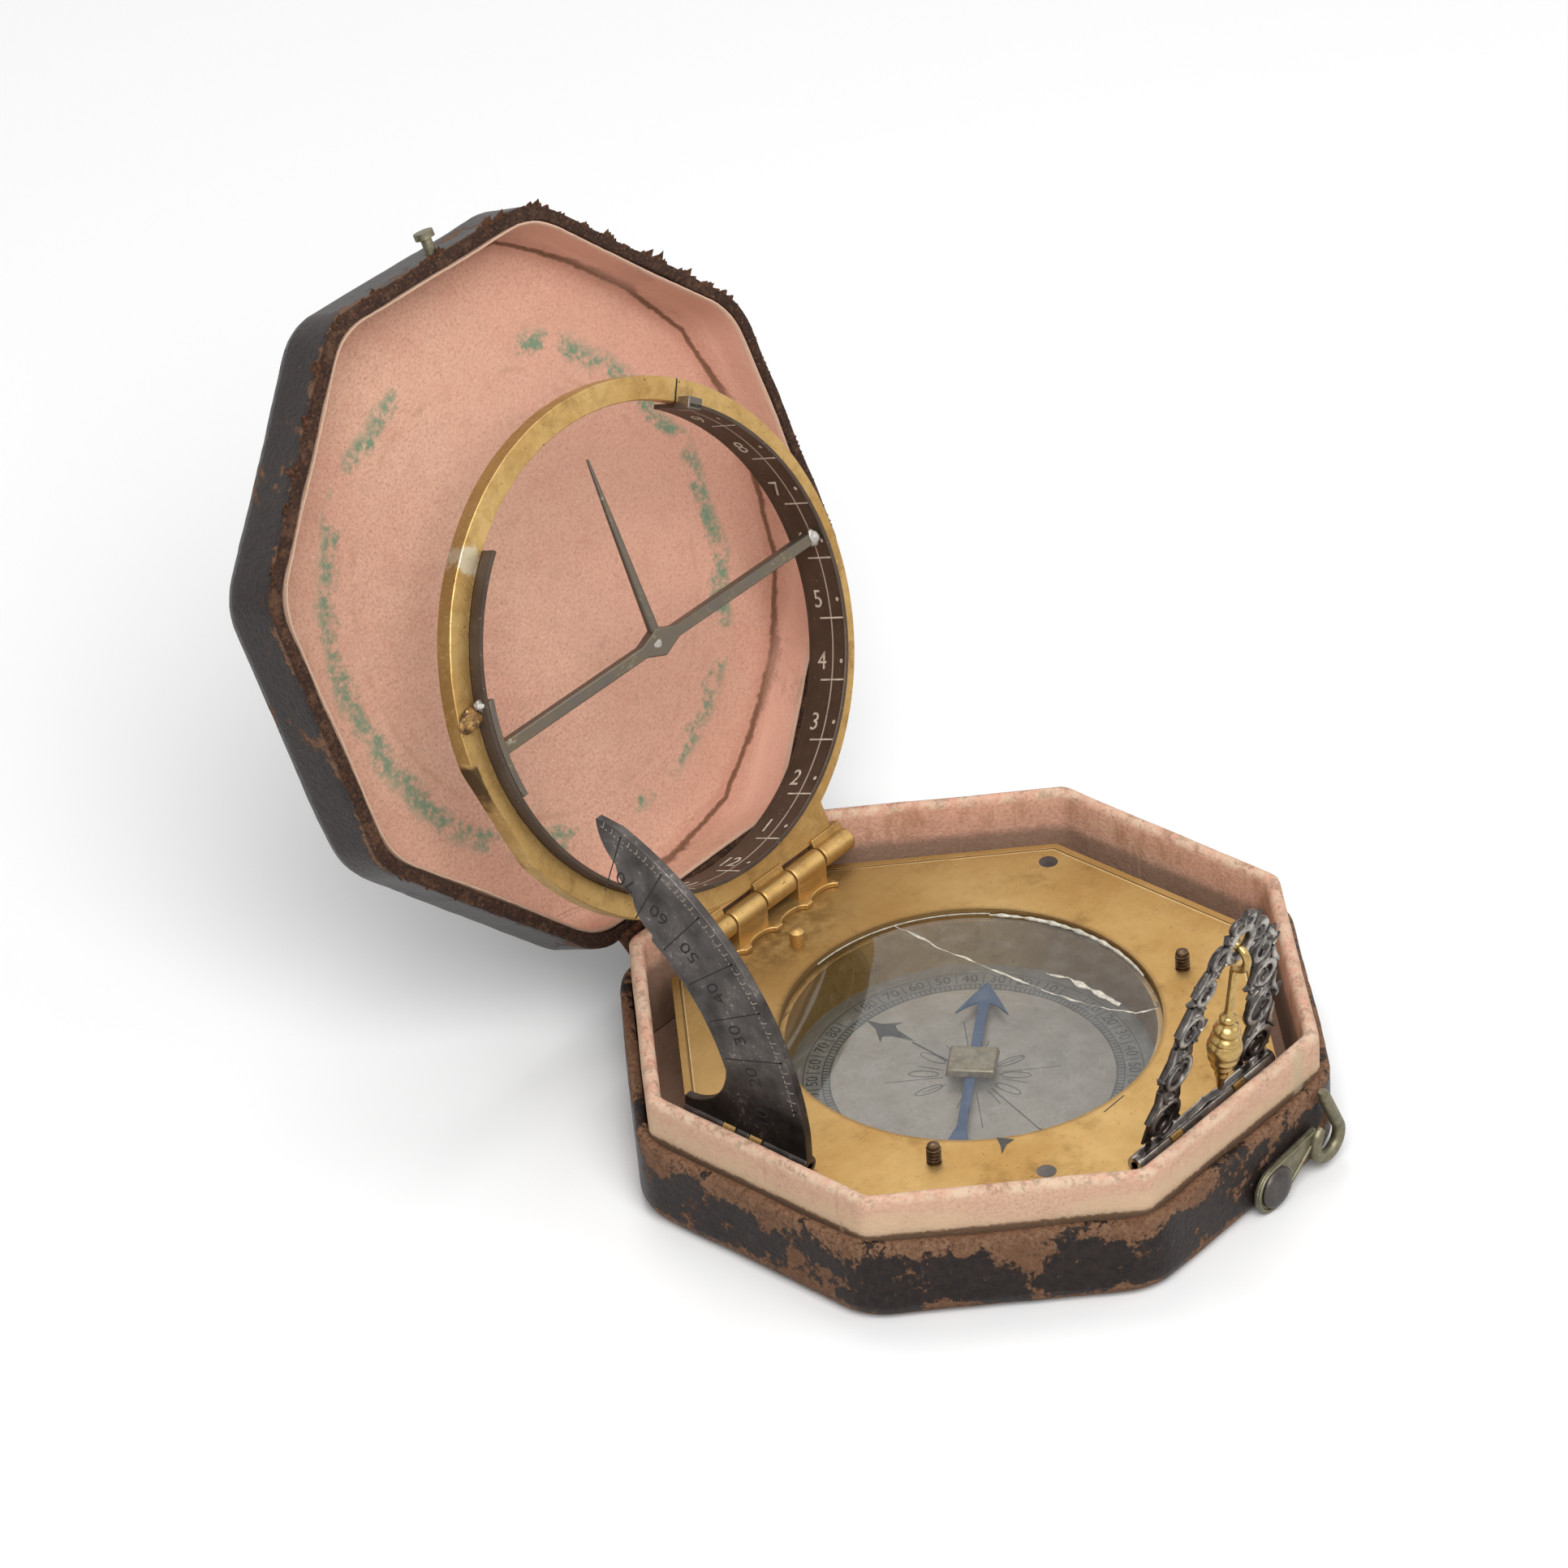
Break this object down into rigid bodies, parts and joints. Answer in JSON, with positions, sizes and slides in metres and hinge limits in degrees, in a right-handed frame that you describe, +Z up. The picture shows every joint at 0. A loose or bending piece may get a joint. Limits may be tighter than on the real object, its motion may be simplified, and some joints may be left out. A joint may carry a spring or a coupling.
{
  "type": "equatorial sundial",
  "caption": "Pocket equatorial sundial with compass, hinged hour ring, latitude arc and plumb bracket in an eight-sided leather case.",
  "frame": {"origin": "centre of the case's underside", "axes": "+Z up, +Y towards the lid's hinge, +X to the right seen from the catch side"},
  "size_m": [0.0608, 0.093, 0.0665],
  "materials": {
    "leather": "worn brown leather",
    "lining": "faded pink paper lining",
    "gilt": "gilt brass, satin",
    "silver_dark": "tarnished silver, dark",
    "silver_grey": "tarnished silver, grey",
    "dial_silver": "engraved silver",
    "blued": "blued steel, gloss",
    "glass": "clear, cracked",
    "dark_metal": "dark tarnished rivets",
    "catch_metal": "greenish tarnished brass",
    "solder": "solder"
  },
  "bodies": {
    "base": {"base_shell": "leather", "base_collar": "lining", "base_floor_lining": "lining", "leather_hinge": "leather", "catch_rivet": "dark_metal", "base_plate": "gilt", "compass_box": "gilt", "compass_dial": "dial_silver", "compass_glass": "glass", "needle_pivot": "gilt", "compass_screws": "gilt", "domed_stud": "gilt", "flush_rivets": "dark_metal", "ring_hinge_leaf": "gilt", "ring_hinge_pin": "gilt", "arc_hinge_leaf": "gilt", "arc_hinge_pin": "silver_grey", "bracket_hinge_leaf": "gilt", "bracket_hinge_pin": "silver_grey"},
    "lid": {"lid_shell": "leather", "lid_wall_lining": "lining", "lid_floor_lining": "lining", "lid_stud": "catch_metal"},
    "hour_ring": {"hour_ring": "gilt", "chapter_band": "silver_dark", "gnomon_strip": "silver_dark", "strip_block": "solder"},
    "gnomon": {"gnomon_bar": "silver_grey", "gnomon_pin": "silver_grey"},
    "latitude_arc": {"latitude_arc": "silver_grey"},
    "plumb_bracket": {"plumb_bracket": "silver_grey"},
    "plumb_bob": {"plumb_bob": "gilt", "bob_hook": "gilt"},
    "needle": {"compass_needle": "blued", "needle_cap": "gilt"},
    "catch": {"catch_hook": "catch_metal"}
  },
  "joints": [
    {"name": "lid_hinge", "type": "hinge", "parent": "base", "child": "lid", "pos_m": [0, 0.0308, 0.0095], "axis": [-1, 0, 0], "range_deg": [-5, 65]},
    {"name": "ring_hinge", "type": "hinge", "parent": "base", "child": "hour_ring", "pos_m": [0.0004, 0.0239, 0.0104], "axis": [-1, 0, 0], "range_deg": [-112, 0]},
    {"name": "gnomon_pivot", "type": "hinge", "parent": "hour_ring", "child": "gnomon", "pos_m": [0.0004, 0.03353, 0.03396], "axis": [1, 0, 0], "range_deg": [-30, 90]},
    {"name": "arc_hinge", "type": "hinge", "parent": "base", "child": "latitude_arc", "pos_m": [-0.0241, 0.0043, 0.0088], "axis": [0, 1, 0], "range_deg": [0, 90]},
    {"name": "bracket_hinge", "type": "hinge", "parent": "base", "child": "plumb_bracket", "pos_m": [0.0009, -0.0242, 0.0088], "axis": [-1, 0, 0], "range_deg": [0, 96]},
    {"name": "bob_swing", "type": "hinge", "parent": "plumb_bracket", "child": "plumb_bob", "pos_m": [0.0009, -0.02808, 0.02633], "axis": [-1, 0, 0], "range_deg": [-60, 0]},
    {"name": "needle_spin", "type": "hinge", "parent": "base", "child": "needle", "pos_m": [0, 0, 0.0033], "axis": [0, 0, 1], "continuous": true},
    {"name": "catch_pivot", "type": "hinge", "parent": "base", "child": "catch", "pos_m": [0.0028, -0.0299, 0.0023], "axis": [0, -1, 0], "range_deg": [-8, 76]}
  ]
}
